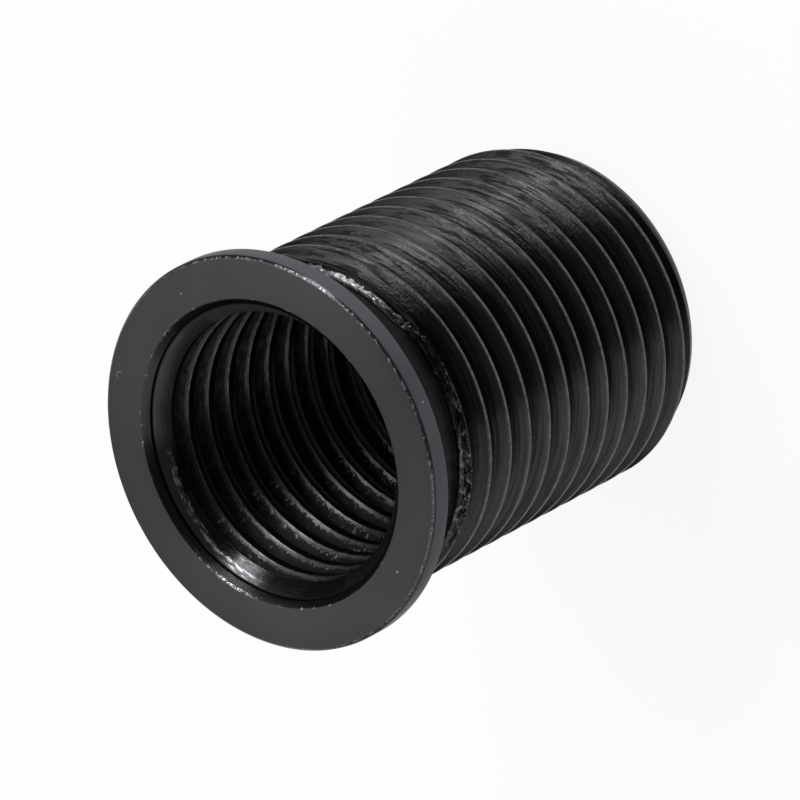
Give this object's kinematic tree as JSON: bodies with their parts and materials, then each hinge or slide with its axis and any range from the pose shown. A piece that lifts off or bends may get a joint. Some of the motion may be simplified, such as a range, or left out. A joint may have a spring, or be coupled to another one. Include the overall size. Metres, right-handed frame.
{
  "type": "threaded insert",
  "caption": "Flanged steel thread insert: a threaded sleeve with a plain neck, a thin round flange and a threaded through bore with a countersunk mouth.",
  "frame": {"origin": "centre of the threaded end face, which the insert stands on", "axes": "+Z along the insert's axis, from the threaded end to the flange"},
  "size_m": [0.0158, 0.0158, 0.0186],
  "materials": {
    "black_oxide_steel": "black oxide, satin"
  },
  "bodies": {
    "root": {"insert": "black_oxide_steel"}
  },
  "joints": []
}
